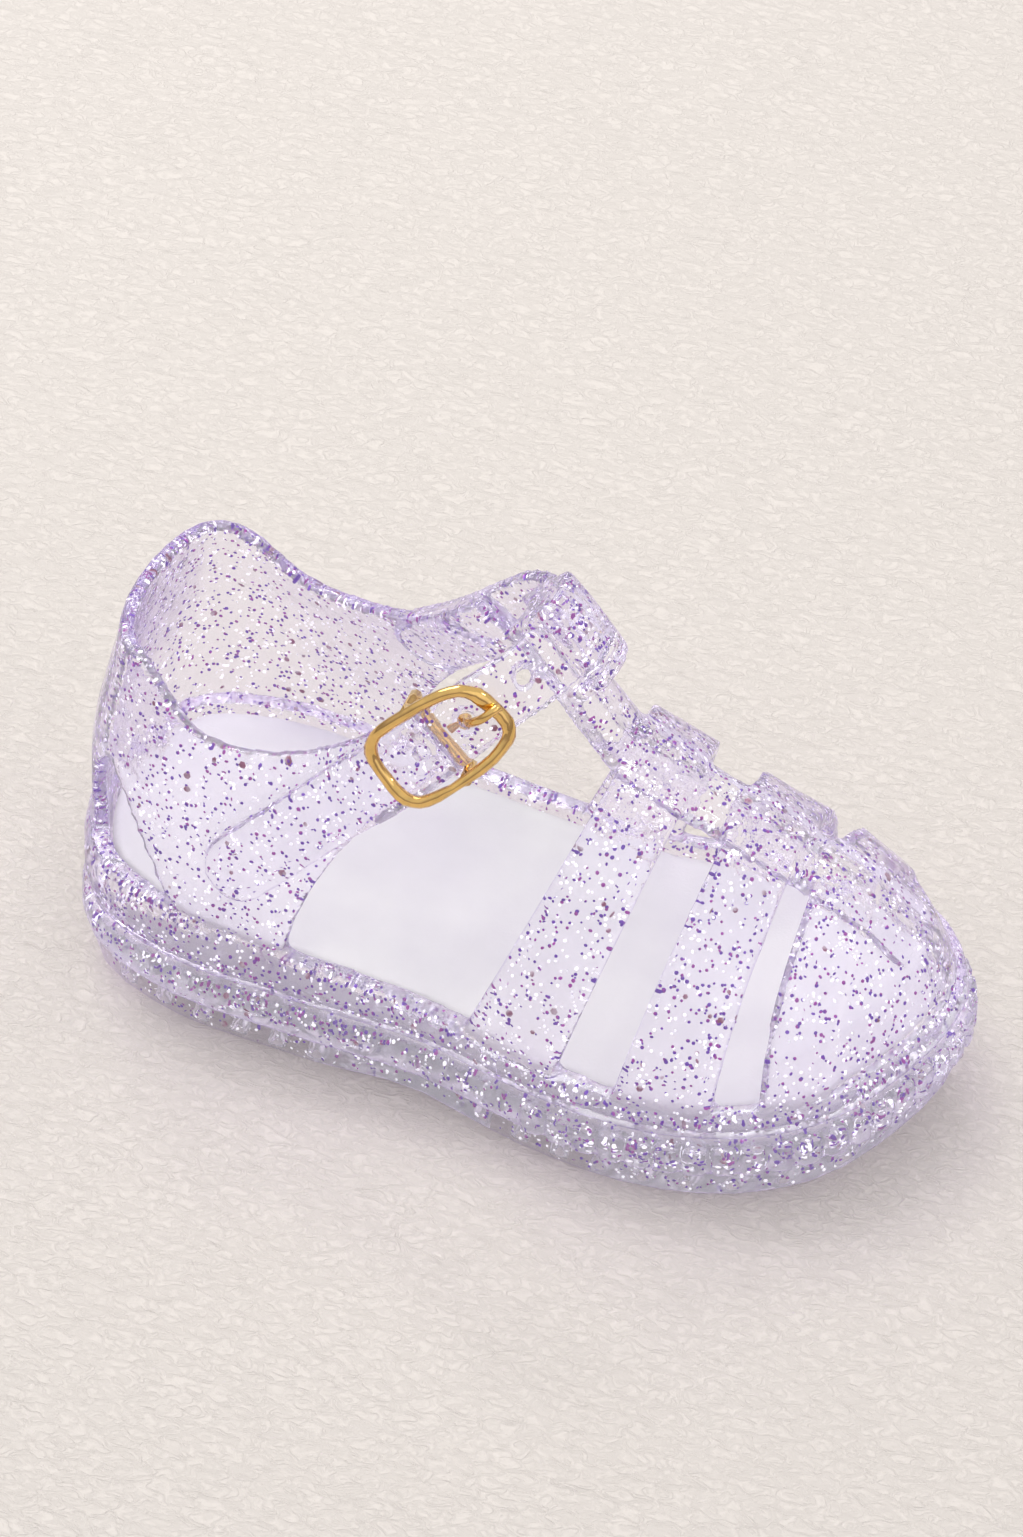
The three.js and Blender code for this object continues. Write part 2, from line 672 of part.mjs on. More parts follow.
function strapHoles() {
  return [-1, 0, 1].map((step) => {
    const s = prongHole + step * holePitch;
    const middle = onStrap(s, 0, (strapInside + strapOutside) / 2);
    const outward = onStrap(s, 0, strapOutside + 1).sub(onStrap(s, 0, strapOutside)).normalize();
    const geometry = new THREE.CylinderGeometry(HOLE_DIAMETER / 2, HOLE_DIAMETER / 2, 2 * ANKLE_THICKNESS, 12);
    geometry.applyQuaternion(new THREE.Quaternion().setFromUnitVectors(new THREE.Vector3(0, 1, 0), outward));
    geometry.translate(middle.x, middle.y, middle.z);
    return toSolid(geometry);
  });
}

function makeUpper() {
  const { block, slot } = makeLoop();
  const heel = heelAndQuarters().subtract(heelLeaf());
  const frame = join([makeRim(), heel, makeToeCap(), ...makeStraps(), makeTbar(), block]);
  const strap = strapHoles().reduce((body, cut) => body.subtract(cut), makeAnkleStrap());
  return frame.subtract(slot).add(strap);
}

// Materials and assembly
const clearPvc = (opacity) => new THREE.MeshStandardMaterial({
  color: 0xcdbfe6, roughness: 0.12, metalness: 0, transparent: true, opacity,
});
const materials = {
  sole: clearPvc(0.7),
  upper: clearPvc(0.55),
  insole: new THREE.MeshStandardMaterial({ color: 0xe9e7f2, roughness: 0.55, metalness: 0 }),
  gold: new THREE.MeshStandardMaterial({ color: 0xd9a441, roughness: 0.18, metalness: 1 }),
};

const sandal = new THREE.Group();
for (const [name, solid, material] of [
  ['outsole', makeOutsole(), materials.sole],
  ['midsole', makeMidsole(), materials.sole],
  ['insole', makeInsole(), materials.insole],
  ['upper', makeUpper(), materials.upper],
  ['buckle_frame', makeBuckleFrame(), materials.gold],
  ['buckle_prong', makeProng(), materials.gold],
]) {
  const mesh = new THREE.Mesh(toGeometry(solid), material);
  mesh.name = name;
  sandal.add(mesh);
}

const footprint = new THREE.Box3().setFromObject(sandal);
sandal.position.set(-(footprint.min.x + footprint.max.x) / 2, -(footprint.min.y + footprint.max.y) / 2, 0);

export default sandal;
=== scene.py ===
"""A toddler's jelly sandal in clear glittery plastic, dressed on its CAD frame.

Run it as a script in Blender 4.5. The clear pieces are the CAD solids with rounded moulded edges, the
glitter is real flakes set inside their walls, and the buckle is polished gold.
"""
import math

import bpy
import numpy as np
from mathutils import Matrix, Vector
from mathutils.bvhtree import BVHTree


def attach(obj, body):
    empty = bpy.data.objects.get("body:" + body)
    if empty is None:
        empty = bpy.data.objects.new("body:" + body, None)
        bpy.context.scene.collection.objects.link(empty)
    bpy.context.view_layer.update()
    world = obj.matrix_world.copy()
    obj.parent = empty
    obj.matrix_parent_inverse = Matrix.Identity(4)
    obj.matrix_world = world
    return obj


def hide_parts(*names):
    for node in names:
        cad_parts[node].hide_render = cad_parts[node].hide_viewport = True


bl_info = {
    "name": "Jelly Sandal",
    "version": (1, 0, 0),
    "blender": (4, 5, 0),
    "location": "3D View > Sidebar > Sandal",
    "description": "Dresses a clear glittery jelly sandal on its CAD frame and sets its stage",
    "category": "Object",
}

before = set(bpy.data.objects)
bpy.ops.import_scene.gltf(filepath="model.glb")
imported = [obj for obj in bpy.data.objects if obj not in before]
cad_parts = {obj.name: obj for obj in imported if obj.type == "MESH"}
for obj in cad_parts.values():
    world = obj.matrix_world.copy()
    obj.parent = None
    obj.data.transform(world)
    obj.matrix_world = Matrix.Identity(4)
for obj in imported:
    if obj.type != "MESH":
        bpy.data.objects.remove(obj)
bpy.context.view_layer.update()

MM = 0.001
BODY = "root"
CLEAR_NODES = ("upper", "midsole", "outsole")

# The camera stands where the photographer's did: the turn, the height, and the point it looks at.
PHOTO_TURN = math.radians(21.16)
PHOTO_HEIGHT = math.radians(42.0)
PHOTO_DISTANCE = 900 * MM
PHOTO_PIVOT = Vector((0, 0, 30 * MM))
PHOTO_RISE = 13.5 * MM
PHOTO_SIDESTEP = -0.24 * MM
SENSOR_HEIGHT = 36.0
PHOTO_LENS = 140.1

# Clear plastic
PVC_IOR = 1.42
MILK_ROUGHNESS = 0.3
# Span of facing over which the plastic's colour turns from its tint to a painted dark lilac edge shade
EDGE_SPAN = (0.42, 0.9)
WAVE_SHARE = 0.85
WAVE_WARP = 0.8
FINE_RIPPLE = 0.2
RIPPLE_STRENGTH = 0.6
RIPPLE_DEPTH = 0.5 * MM
# Each finish's glow is the strength of a painted glow: emission that brightens the plastic beyond what the
# lamps give
UPPER_FINISH = {"roughness": 0.03, "density": 1.0, "glow": 0.02}
SOLE_FINISH = {"roughness": 0.05, "density": 0.4}
SMOOTHING = 0.5
MERGE_DISTANCE = 0.001 * MM

# Glitter: how the flakes are shared out, how much of that lies in level faces, and how they sit
GLITTER_SHARE = {"upper": 0.64, "midsole": 0.24, "outsole": 0.12}
LEVEL_SHARE = {"upper": 1.0, "midsole": 0.12, "outsole": 0.12}
FLAKE_MARGIN = 0.4
FLAKE_REACH = 2.5 * MM
FLAKE_TILT = 0.35
FLAKE_SPREAD = (0.65, 1.25)
CHIP_SIDES = 6
CHIP_THICKNESS = 0.3
SILVER_WIDTH = 0.9
PLUM_WIDTH = 1.8
COLOUR_WANDER = 1.1 * MM
COLOUR_SPAN = (0.38, 0.62)
SKIN = 0.02 * MM

# Insole, buckle and floor
SOCK_CELL = 0.7 * MM
SOCK_ROUNDING = 4
SOCK_CLOUDS = 22 * MM
CASTING_WAVE = 5 * MM
TARNISH_PATCH = 2 * MM
TARNISH = 0.82
BUCKLE_ANGLE = math.radians(50)
CRINKLE = 1.7 * MM
CRINKLE_STRETCH = (0.6, 1.0, 1.0)
CRINKLE_DEPTH = 0.8 * MM
# Painted shade: the floor's colour is painted this much darker in the crinkle's creases
CRINKLE_SHADE = 0.9
FLOOR_SWELL = 9 * MM

# Lights: width, place and colour of each
KEY = {"width": 0.9, "place": (-0.75, 0.55, 1.15), "colour": (1.0, 0.985, 0.96)}
FILL = {"width": 1.2, "place": (0.9, -0.7, 0.8), "colour": (0.95, 0.96, 1.0)}
WINDOW = {"width": 0.12, "place": (-0.35, 0.5, 0.75), "colour": (1.0, 1.0, 1.0)}
LAMP = {"width": 0.08, "place": (0.55, 0.1, 0.7), "colour": (1.0, 1.0, 1.0)}
LAMP_SHARE = 0.5


class PlasticSizes(bpy.types.PropertyGroup):
    """Sizes and colours of the clear moulded plastic."""

    upper_grain: bpy.props.FloatProperty(
        name="Upper grain", description="Size of the mesh cells that round the upper's moulded edges",
        default=0.63 * MM, min=0.5 * MM, subtype="DISTANCE", unit="LENGTH",
    )
    sole_grain: bpy.props.FloatProperty(
        name="Sole grain", description="Size of the mesh cells that round the sole's moulded edges",
        default=0.5 * MM, min=0.4 * MM, subtype="DISTANCE", unit="LENGTH",
    )
    upper_rounding: bpy.props.IntProperty(
        name="Upper rounding", description="How many times the upper's moulded edges are smoothed",
        default=6, min=0,
    )
    sole_rounding: bpy.props.IntProperty(
        name="Sole rounding", description="How many times the sole's moulded edges are smoothed",
        default=1, min=0,
    )
    # Painted glow: emission that brightens the clear plastic, most of all the sole, beyond what the lamps
    # give
    glow: bpy.props.FloatProperty(
        name="Glow", description="Light that scatters out of the sole's thick plastic",
        default=0.05, min=0.0,
    )
    tint: bpy.props.FloatVectorProperty(
        name="Tint", description="Colour of light passing the plastic's surface",
        default=(0.972, 0.958, 0.99), size=3, subtype="COLOR",
    )
    # Painted edge shade: the dark lilac the plastic's colour is painted where it is seen edge-on
    painted_edge_shade: bpy.props.FloatVectorProperty(
        name="Edge tint", description="Colour of the plastic where it is seen along its surface",
        default=(0.44, 0.32, 0.67), size=3, subtype="COLOR",
    )
    depth_tint: bpy.props.FloatVectorProperty(
        name="Depth tint", description="Colour that thick plastic turns towards",
        default=(0.78, 0.7, 0.93), size=3, subtype="COLOR",
    )
    density: bpy.props.FloatProperty(
        name="Density", description="How fast the depth tint builds up, per metre", default=30.0, min=0.0,
    )
    haze: bpy.props.FloatProperty(
        name="Haze", description="Share of light that the slightly milky plastic scatters",
        default=0.07, min=0.0, max=1.0, subtype="FACTOR",
    )
    ripple: bpy.props.FloatProperty(
        name="Ripple", description="Width of the waves in the moulded surface",
        default=5 * MM, min=0.5 * MM, subtype="DISTANCE", unit="LENGTH",
    )


class GlitterSizes(bpy.types.PropertyGroup):
    """Sizes and numbers of the flakes set in the plastic."""

    purple_count: bpy.props.IntProperty(
        name="Purple flakes", description="Purple flakes in the whole sandal", default=9400, min=0,
    )
    silver_count: bpy.props.IntProperty(
        name="Silver flakes", description="Silver flakes in the whole sandal", default=7000, min=0,
    )
    plum_count: bpy.props.IntProperty(
        name="Plum flakes", description="Large plum flakes in the whole sandal", default=260, min=0,
    )
    flake: bpy.props.FloatProperty(
        name="Flake", description="Width of a common flake",
        default=0.57 * MM, min=0.1 * MM, subtype="DISTANCE", unit="LENGTH",
    )
    purple: bpy.props.FloatVectorProperty(
        name="Purple", description="Colour of most of the purple flakes",
        default=(0.12, 0.01, 0.4), size=3, subtype="COLOR",
    )
    magenta: bpy.props.FloatVectorProperty(
        name="Magenta", description="Colour of the redder purple flakes",
        default=(0.34, 0.02, 0.34), size=3, subtype="COLOR",
    )
    silver: bpy.props.FloatVectorProperty(
        name="Silver", description="Colour of the silver flakes",
        default=(0.9, 0.89, 0.93), size=3, subtype="COLOR",
    )
    plum: bpy.props.FloatVectorProperty(
        name="Plum", description="Colour of the large plum flakes",
        default=(0.3, 0.07, 0.16), size=3, subtype="COLOR",
    )
    seed: bpy.props.IntProperty(name="Seed", description="Start of the random scatter", default=7, min=0)


class SockSizes(bpy.types.PropertyGroup):
    """Colour and surface of the insole's sock."""

    pale: bpy.props.FloatVectorProperty(
        name="Pale", description="Main colour of the insole",
        default=(0.75, 0.737, 0.745), size=3, subtype="COLOR",
    )
    lilac: bpy.props.FloatVectorProperty(
        name="Lilac", description="Colour of the insole's soft clouds",
        default=(0.68, 0.662, 0.69), size=3, subtype="COLOR",
    )
    grain: bpy.props.FloatProperty(
        name="Grain", description="Size of the insole's fine surface grain",
        default=0.5 * MM, min=0.1 * MM, subtype="DISTANCE", unit="LENGTH",
    )


class MetalSizes(bpy.types.PropertyGroup):
    """Colour and finish of the buckle."""

    gold: bpy.props.FloatVectorProperty(
        name="Gold", description="Colour of the polished plating",
        default=(0.9, 0.58, 0.2), size=3, subtype="COLOR",
    )
    polish: bpy.props.FloatProperty(
        name="Roughness", description="Roughness of the polished plating",
        default=0.09, min=0.0, max=1.0, subtype="FACTOR",
    )


class StageSizes(bpy.types.PropertyGroup):
    """Floor, lights and backdrop."""

    floor: bpy.props.FloatVectorProperty(
        name="Floor", description="Colour of the pale floor",
        default=(0.81, 0.752, 0.7), size=3, subtype="COLOR",
    )
    floor_size: bpy.props.FloatProperty(
        name="Floor size", description="Width of the floor", default=6.0, min=1.0, unit="LENGTH",
    )
    key_power: bpy.props.FloatProperty(
        name="Key light", description="Power of the large soft light",
        default=7.2, min=0.0, unit="POWER",
    )
    fill_power: bpy.props.FloatProperty(
        name="Fill light", description="Power of the weaker light opposite",
        default=1.4, min=0.0, unit="POWER",
    )
    window_power: bpy.props.FloatProperty(
        name="Window lights", description="Power of the small lights that make crisp highlights",
        default=0.7, min=0.0, unit="POWER",
    )
    sky: bpy.props.FloatProperty(
        name="Sky", description="Strength of the light all round", default=0.78, min=0.0,
    )


# The room's light by height: 0 at the horizon and below it, 1 straight up.
ROOM_STOPS = (
    (0.0, (0.42, 0.38, 0.4)),
    (0.2, (0.56, 0.52, 0.6)),
    (0.42, (0.92, 0.92, 0.95)),
    (0.6, (1.0, 1.0, 1.0)),
)

SETTINGS = {
    "sandal_plastic": PlasticSizes,
    "sandal_glitter": GlitterSizes,
    "sandal_sock": SockSizes,
    "sandal_metal": MetalSizes,
    "sandal_stage": StageSizes,
}


class Wire:
    """A node's output that takes part in Python expressions, each of which adds its Math node."""

    def __init__(self, maker, socket):
        self.maker = maker
        self.socket = socket

    def math(self, operation, *values):
        return self.maker.node("ShaderNodeMath", {"operation": operation}, dict(enumerate(values)))

    def __add__(self, other):
        return self.math("ADD", self, other)

    def __sub__(self, other):
        return self.math("SUBTRACT", self, other)

    def __mul__(self, other):
        return self.math("MULTIPLY", self, other)

    def __truediv__(self, other):
        return self.math("DIVIDE", self, other)

    def __pow__(self, other):
        return self.math("POWER", self, other)

    def __rsub__(self, other):
        return self.math("SUBTRACT", other, self)

    def __abs__(self):
        return self.math("ABSOLUTE", self)

    __radd__ = __add__
    __rmul__ = __mul__


class Shading:
    """The node tree of a new material or world, and the one method that adds nodes to it."""

    def __init__(self, data):
        self.data = data
        self.data.use_nodes = True
        self.tree = self.data.node_tree
        self.tree.nodes.clear()

    def node(self, kind, settings=None, values=None, out=0):
        made = self.tree.nodes.new(kind)
        for key, value in (settings or {}).items():
            if key == "stops":
                self.set_stops(made.color_ramp, value)
            else:
                setattr(made, key, value)
        for key, value in (values or {}).items():
            if isinstance(value, Wire):
                self.tree.links.new(value.socket, made.inputs[key])
            else:
                made.inputs[key].default_value = value
        return Wire(self, made.outputs[out]) if made.outputs else made

    def set_stops(self, ramp, stops):
        while len(ramp.elements) < len(stops):
            ramp.elements.new(1.0)
        for element, (place, shade) in zip(ramp.elements, stops):
            element.position = place
            element.color = (*shade, 1.0) if len(shade) == 3 else shade

    def place(self):
        return self.node("ShaderNodeTexCoord", out="Object")

    def noise(self, size, detail=2.0, warp=0.0):
        values = {"Vector": self.place(), "Scale": 1 / size, "Detail": detail, "Distortion": warp}
        return self.node("ShaderNodeTexNoise", {}, values)

    def ramp(self, mask, *stops):
        return self.node("ShaderNodeValToRGB", {"stops": stops}, {"Fac": mask})

    def bump(self, height, strength, distance):
        values = {"Height": height, "Strength": strength, "Distance": distance}
        return self.node("ShaderNodeBump", {}, values)

    def surface(self, shader, volume=None):
        values = {"Surface": shader}
        if volume:
            values["Volume"] = volume
        self.node("ShaderNodeOutputMaterial", {}, values)
        return self.data


def shade4(colour):
    return (*colour, 1.0)


def clear_plastic(name, sizes, roughness, density, glow):
    """Clear moulded plastic, slightly milky, that tints with depth and lets lamps reach its flakes. Its
    emission is a painted glow that brightens it beyond what the lamps give.
    """
    made = Shading(bpy.data.materials.new(name))
    waves = made.noise(sizes.ripple, detail=1.0, warp=WAVE_WARP)
    fine = made.noise(sizes.ripple * FINE_RIPPLE)
    height = waves * WAVE_SHARE + fine * (1 - WAVE_SHARE)
    normal = made.bump(height, RIPPLE_STRENGTH, RIPPLE_DEPTH)
    # Painted edge shade: the colour is painted darker lilac where the surface is seen edge-on, to outline
    # the edges
    grazing = made.node("ShaderNodeLayerWeight", {}, {"Blend": 0.5}, out="Facing")
    face, edge = EDGE_SPAN
    colour = made.ramp(grazing, (face, tuple(sizes.tint)), (edge, tuple(sizes.painted_edge_shade)))
    plastic = made.node("ShaderNodeBsdfPrincipled", {}, {
        "Base Color": colour, "Roughness": roughness, "IOR": PVC_IOR,
        "Transmission Weight": 1.0, "Normal": normal,
        "Emission Color": shade4(sizes.tint), "Emission Strength": glow,
    })
    milk = made.node("ShaderNodeBsdfPrincipled", {}, {
        "Base Color": shade4(sizes.tint), "Roughness": MILK_ROUGHNESS, "Normal": normal,
    })
    body = made.node("ShaderNodeMixShader", {}, {0: sizes.haze, 1: plastic, 2: milk})
    open_way = made.node("ShaderNodeBsdfTransparent", {}, {"Color": shade4(sizes.tint)})
    shadow = made.node("ShaderNodeLightPath", out="Is Shadow Ray")
    mixed = made.node("ShaderNodeMixShader", {}, {0: shadow, 1: body, 2: open_way})
    values = {"Color": shade4(sizes.depth_tint), "Density": density * sizes.density}
    depth = made.node("ShaderNodeVolumeAbsorption", {}, values)
    return made.surface(mixed, depth)


def flake_material(name, colours, metal, roughness, glow):
    """Foil flakes whose colour wanders from flake to flake through the colours given, with a painted glow
    of that colour that keeps them bright inside the plastic.
    """
    made = Shading(bpy.data.materials.new(name))
    wander = made.noise(COLOUR_WANDER, detail=0.0)
    places = np.linspace(*COLOUR_SPAN, len(colours)).tolist()
    stops = [(place, tuple(colour)) for place, colour in zip(places, colours)]
    foil = made.ramp(wander, *stops)
    return made.surface(made.node("ShaderNodeBsdfPrincipled", {}, {
        "Base Color": foil, "Metallic": metal, "Roughness": roughness,
        "Emission Color": foil, "Emission Strength": glow,
    }))


def sock_material(pale, lilac, grain):
    """Satin pale foam sock with soft lilac clouds and a fine grain."""
    made = Shading(bpy.data.materials.new("insole_sock"))
    clouds = made.noise(SOCK_CLOUDS, detail=3.0)
    cover = made.ramp(clouds, (0.35, tuple(lilac)), (0.6, tuple(pale)))
    normal = made.bump(made.noise(grain, detail=2.0), 0.25, 0.15 * MM)
    return made.surface(made.node("ShaderNodeBsdfPrincipled", {}, {
        "Base Color": cover, "Roughness": 0.42, "Sheen Weight": 0.15, "Normal": normal,
    }))


def gold_material(gold, polish):
    """Polished gold plating with a faint casting wave."""
    made = Shading(bpy.data.materials.new("buckle_gold"))
    casting = made.noise(CASTING_WAVE, detail=1.0)
    patches = made.noise(TARNISH_PATCH, detail=3.0)
    tarnish = made.ramp(patches, (0.3, tuple(TARNISH * c for c in gold)), (0.6, tuple(gold)))
    return made.surface(made.node("ShaderNodeBsdfPrincipled", {}, {
        "Base Color": tarnish, "Metallic": 1.0, "Roughness": polish,
        "Normal": made.bump(casting, 0.2, 0.2 * MM),
    }))


def floor_material(colour):
    """Pale covering with a fine leathery crinkle, its creases painted darker as shade."""
    made = Shading(bpy.data.materials.new("floor"))
    place = made.node("ShaderNodeMapping", {}, {"Vector": made.place(), "Scale": CRINKLE_STRETCH})
    values = {"Vector": place, "Scale": 1 / CRINKLE, "Detail": 3.0, "Distortion": 1.2}
    wrinkle = made.node("ShaderNodeTexNoise", {}, values)
    crease = abs(wrinkle - 0.5)
    broad = made.noise(FLOOR_SWELL, warp=1.0)
    height = crease * 1.2 + broad * 0.4
    # Painted shade in the creases of the crinkle
    shade = made.ramp(crease, (0.0, tuple(CRINKLE_SHADE * c for c in colour)), (0.14, tuple(colour)))
    return made.surface(made.node("ShaderNodeBsdfPrincipled", {}, {
        "Base Color": shade, "Roughness": 0.6, "Normal": made.bump(height, 0.75, CRINKLE_DEPTH),
    }))


def select_only(obj):
    bpy.ops.object.select_all(action="DESELECT")
    obj.select_set(True)
    bpy.context.view_layer.objects.active = obj


def merge_points(obj, distance):
    select_only(obj)
    bpy.ops.object.mode_set(mode="EDIT")
    bpy.ops.mesh.select_all(action="SELECT")
    bpy.ops.mesh.remove_doubles(threshold=distance)
    bpy.ops.object.mode_set(mode="OBJECT")


def node_copy(node, name):
    """A merged copy of a CAD node's mesh, as a piece of its own."""
    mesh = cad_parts[node].data.copy()
    mesh.materials.clear()
    piece = bpy.data.objects.new(name, mesh)
    bpy.context.scene.collection.objects.link(piece)
    merge_points(piece, MERGE_DISTANCE)
    return piece


def add_modifier(obj, kind, **settings):
    select_only(obj)
    modifier = obj.modifiers.new(kind.title(), kind)
    for key, value in settings.items():
        setattr(modifier, key, value)
    bpy.ops.object.modifier_apply(modifier=modifier.name)


def finish_piece(piece, material, node, angle=None):
    """Gives a piece its shading, material and body, and hides the CAD node it stands for."""
    piece.data.materials.append(material)
    select_only(piece)
    if angle is None:
        bpy.ops.object.shade_smooth()
    else:
        bpy.ops.object.shade_smooth_by_angle(angle=angle)
    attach(piece, BODY)
    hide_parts(node)


def mesh_arrays(obj):
    """Corner positions of every triangle, and each triangle's area and outward normal."""
    mesh = obj.data
    mesh.calc_loop_triangles()
    places = np.empty(len(mesh.vertices) * 3)
    mesh.vertices.foreach_get("co", places)
    corners = np.empty(len(mesh.loop_triangles) * 3, dtype=np.int64)
    mesh.loop_triangles.foreach_get("vertices", corners)
    triangles = places.reshape(-1, 3)[corners.reshape(-1, 3)]
    cross = np.cross(triangles[:, 1] - triangles[:, 0], triangles[:, 2] - triangles[:, 0])
    length = np.linalg.norm(cross, axis=1)
    return triangles, length / 2, cross / np.maximum(length, 1e-12)[:, None]


def scatter_inside(obj, count, margin, reach, level_share, rng):
    """Points inside a solid's walls, each margin from both faces and at most reach below its own.

    Faces that lie level get level_share of the flakes that upright ones do.
    """
    triangles, areas, normals = mesh_arrays(obj)
    weights = areas * (1 - (1 - level_share) * np.abs(normals[:, 2]))
    picked = rng.choice(len(areas), size=count, p=weights / weights.sum())
    u, v = np.sqrt(rng.random(count)), rng.random(count)
    weights = np.stack([1 - u, u * (1 - v), u * v], axis=1)
    starts = np.einsum("nk,nkd->nd", weights, triangles[picked])
    tree = BVHTree.FromPolygons(
        [vertex.co.copy() for vertex in obj.data.vertices],
        [tuple(polygon.vertices) for polygon in obj.data.polygons],
    )
    depths = rng.random(count)
    found, facing = [], []
    for start, normal, share in zip(starts, normals[picked], depths):
        inward = Vector(-normal)
        below = Vector(start) + inward * SKIN
        hit = tree.ray_cast(below, inward)
        if hit[0] is None or hit[3] < 2 * margin:
            continue
        room = min(hit[3] - 2 * margin, reach)
        found.append(Vector(start) + inward * (margin + share * room))
        facing.append(Vector(normal))
    return found, facing


def chip_shape():
    """Points and triangles of one closed chip, one unit in radius."""
    angles = [2 * math.pi * k / CHIP_SIDES for k in range(CHIP_SIDES)]
    rim = [(math.cos(angle), math.sin(angle), 0.0) for angle in angles]
    chip = np.array(rim + [(0, 0, CHIP_THICKNESS), (0, 0, -CHIP_THICKNESS)])
    sides = [(k, (k + 1) % CHIP_SIDES) for k in range(CHIP_SIDES)]
    over = [(a, b, CHIP_SIDES) for a, b in sides]
    under = [(b, a, CHIP_SIDES + 1) for a, b in sides]
    return chip, np.array(over + under)


def flake_mesh(name, places, facing, width, rng):
    """All flakes of one kind as one mesh of closed six-sided foil chips."""
    chip, faces = chip_shape()
    count = len(places)
    centres = np.array([tuple(place) for place in places])
    turns = np.empty((count, 3, 3))
    for index, normal in enumerate(facing):
        tilt = Vector(rng.normal(0, FLAKE_TILT, 3)) + normal
        turns[index] = tilt.to_track_quat("Z", "Y").to_matrix()
    sizes = width / 2 * rng.uniform(*FLAKE_SPREAD, count)
    points = np.einsum("nij,kj->nki", turns, chip) * sizes[:, None, None]
    points += centres[:, None, :]
    shift = len(chip) * np.arange(count)[:, None, None]
    corners = (faces[None] + shift).reshape(-1, 3)
    mesh = bpy.data.meshes.new(name)
    mesh.from_pydata(points.reshape(-1, 3).tolist(), [], corners.tolist())
    piece = bpy.data.objects.new(name, mesh)
    bpy.context.scene.collection.objects.link(piece)
    return piece


class SANDAL_OT_clear_moulding(bpy.types.Operator):
    """Moulds the upper, midsole and outsole in clear plastic with rounded edges"""

    bl_idname = "sandal.clear_moulding"
    bl_label = "Clear moulding"

    def execute(self, context):
        sizes = context.scene.sandal_plastic
        upper = clear_plastic("upper_pvc", sizes, **UPPER_FINISH)
        sole = clear_plastic("sole_pvc", sizes, **SOLE_FINISH, glow=sizes.glow)
        looks = {
            "upper": (upper, sizes.upper_grain, sizes.upper_rounding),
            "midsole": (sole, sizes.sole_grain, sizes.sole_rounding),
            "outsole": (sole, sizes.sole_grain, sizes.sole_rounding),
        }
        for node, (material, grain, rounding) in looks.items():
            piece = node_copy(node, node + "_clear")
            add_modifier(piece, "REMESH", mode="VOXEL", voxel_size=grain)
            add_modifier(piece, "SMOOTH", factor=SMOOTHING, iterations=rounding)
            finish_piece(piece, material, node)
        return {"FINISHED"}


class SANDAL_OT_insole(bpy.types.Operator):
    """Lays the pale satin sock inside the rim"""

    bl_idname = "sandal.insole"
    bl_label = "Insole"

    def execute(self, context):
        sizes = context.scene.sandal_sock
        piece = node_copy("insole", "insole_sock")
        add_modifier(piece, "REMESH", mode="VOXEL", voxel_size=SOCK_CELL)
        add_modifier(piece, "SMOOTH", factor=SMOOTHING, iterations=SOCK_ROUNDING)
        finish_piece(piece, sock_material(sizes.pale, sizes.lilac, sizes.grain), "insole")
        return {"FINISHED"}


class SANDAL_OT_buckle(bpy.types.Operator):
    """Polishes the buckle's frame and prong"""

    bl_idname = "sandal.buckle"
    bl_label = "Buckle"

    def execute(self, context):
        sizes = context.scene.sandal_metal
        gold = gold_material(sizes.gold, sizes.polish)
        for node in ("buckle_frame", "buckle_prong"):
            piece = node_copy(node, node + "_gold")
            finish_piece(piece, gold, node, angle=BUCKLE_ANGLE)
        return {"FINISHED"}


class SANDAL_OT_glitter(bpy.types.Operator):
    """Sets purple, silver and plum flakes inside the clear walls"""

    bl_idname = "sandal.glitter"
    bl_label = "Glitter"

    def execute(self, context):
        sizes = context.scene.sandal_glitter
        rng = np.random.default_rng(sizes.seed)
        violets = (sizes.purple, sizes.purple, sizes.magenta)
        # The last number of each foil is the strength of its painted glow, which keeps the flakes bright
        # where little lamp light reaches them
        purple = flake_material("purple_foil", violets, 0.2, 0.35, 0.14)
        silver = flake_material("silver_foil", (sizes.silver,), 0.1, 0.3, 0.7)
        plum = flake_material("plum_foil", (sizes.plum,), 0.3, 0.4, 0.05)
        kinds = (
            ("purple", sizes.purple_count, sizes.flake, purple),
            ("silver", sizes.silver_count, SILVER_WIDTH * sizes.flake, silver),
            ("plum", sizes.plum_count, PLUM_WIDTH * sizes.flake, plum),
        )
        for node in CLEAR_NODES:
            walls = bpy.data.objects[node + "_clear"]
            for name, count, width, material in kinds:
                number = int(count * GLITTER_SHARE[node])
                spots, facing = scatter_inside(
                    walls, number, FLAKE_MARGIN * width, FLAKE_REACH, LEVEL_SHARE[node], rng,
                )
                piece = flake_mesh(name + "_flakes_" + node, spots, facing, width, rng)
                piece.data.materials.append(material)
                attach(piece, BODY)
        return {"FINISHED"}


class SANDAL_OT_stage(bpy.types.Operator):
    """Lays the floor, hangs the lights and sets the camera at the photograph's angle"""

    bl_idname = "sandal.stage"
    bl_label = "Stage"

    def execute(self, context):
        sizes = context.scene.sandal_stage
        bpy.ops.object.select_all(action="DESELECT")
        bpy.ops.mesh.primitive_plane_add(size=sizes.floor_size, location=(0, 0, 0))
        floor = context.object
        floor.name = "floor"
        floor.data.materials.append(floor_material(sizes.floor))
        hang_light("key", sizes.key_power, **KEY)
        hang_light("fill", sizes.fill_power, **FILL)
        hang_light("window", sizes.window_power, **WINDOW)
        hang_light("lamp", LAMP_SHARE * sizes.window_power, **LAMP)
        light_all_round(sizes.sky)
        context.scene.view_settings.view_transform = "Standard"
        aim_camera()
        return {"FINISHED"}


